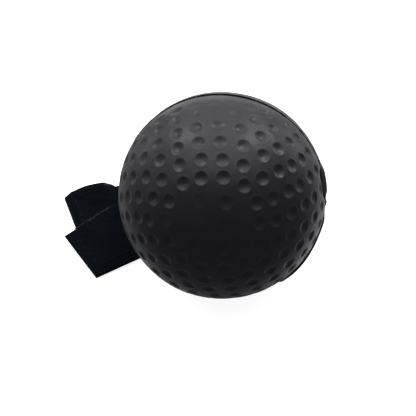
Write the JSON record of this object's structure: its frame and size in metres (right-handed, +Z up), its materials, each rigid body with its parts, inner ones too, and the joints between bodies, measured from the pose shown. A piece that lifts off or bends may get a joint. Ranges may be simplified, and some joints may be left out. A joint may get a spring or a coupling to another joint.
{
  "type": "reflex ball headband",
  "caption": "Dimpled rubber reflex ball in two bonded halves, set down in front of its folded elastic webbing headband with hook-and-loop ends and an eyelet for the cord.",
  "frame": {"origin": "middle of the base of the whole object, on the surface that it is set down on", "axes": "+Z up; the ball is towards -Y, the folded headband behind it towards +Y, and its free ends point to -X"},
  "size_m": [0.0846, 0.0868, 0.065],
  "materials": {
    "ball_rubber": "semi-gloss moulded rubber with dimples",
    "seam_rubber": "matte bond line",
    "webbing": "woven elastic webbing",
    "hook_tape": "hook tape",
    "loop_tape": "brushed loop tape",
    "thread": "twisted polyester thread",
    "patch": "tight plain weave",
    "eyelet_metal": "black nickel",
    "ferrule_plastic": "moulded nylon"
  },
  "bodies": {
    "band": {"band_webbing": "webbing", "loop_patch": "loop_tape", "loop_patch_stitching": "thread", "anchor_patch": "patch", "anchor_stitching": "thread", "eyelet": "eyelet_metal", "eyelet_washer": "eyelet_metal"},
    "tail": {"tail_webbing": "webbing", "hook_patch": "hook_tape", "hook_patch_stitching": "thread"},
    "cord_end": {"knot_washer": "ferrule_plastic"},
    "ball": {"ball_front_shell": "ball_rubber", "ball_rear_shell": "ball_rubber", "ball_seam_bond": "seam_rubber", "cord_ferrule": "ferrule_plastic"}
  },
  "joints": [
    {"name": "ball_pull", "type": "slide", "parent": "band", "child": "cord_end", "axis": [-0.105, -0.8674, 0.4863], "range_m": [0, 0.6]},
    {"name": "ball_spin", "type": "hinge", "parent": "cord_end", "child": "ball", "pos_m": [0.00984, -0.01088, 0.0325], "axis": [-0.105, -0.8674, 0.4863], "continuous": true},
    {"name": "tail_peel", "type": "hinge", "parent": "band", "child": "tail", "pos_m": [-0.01708, 0.00319, 0.00325], "axis": [-0.5288, 0.8365, 0.1435], "range_deg": [0, 50]}
  ]
}
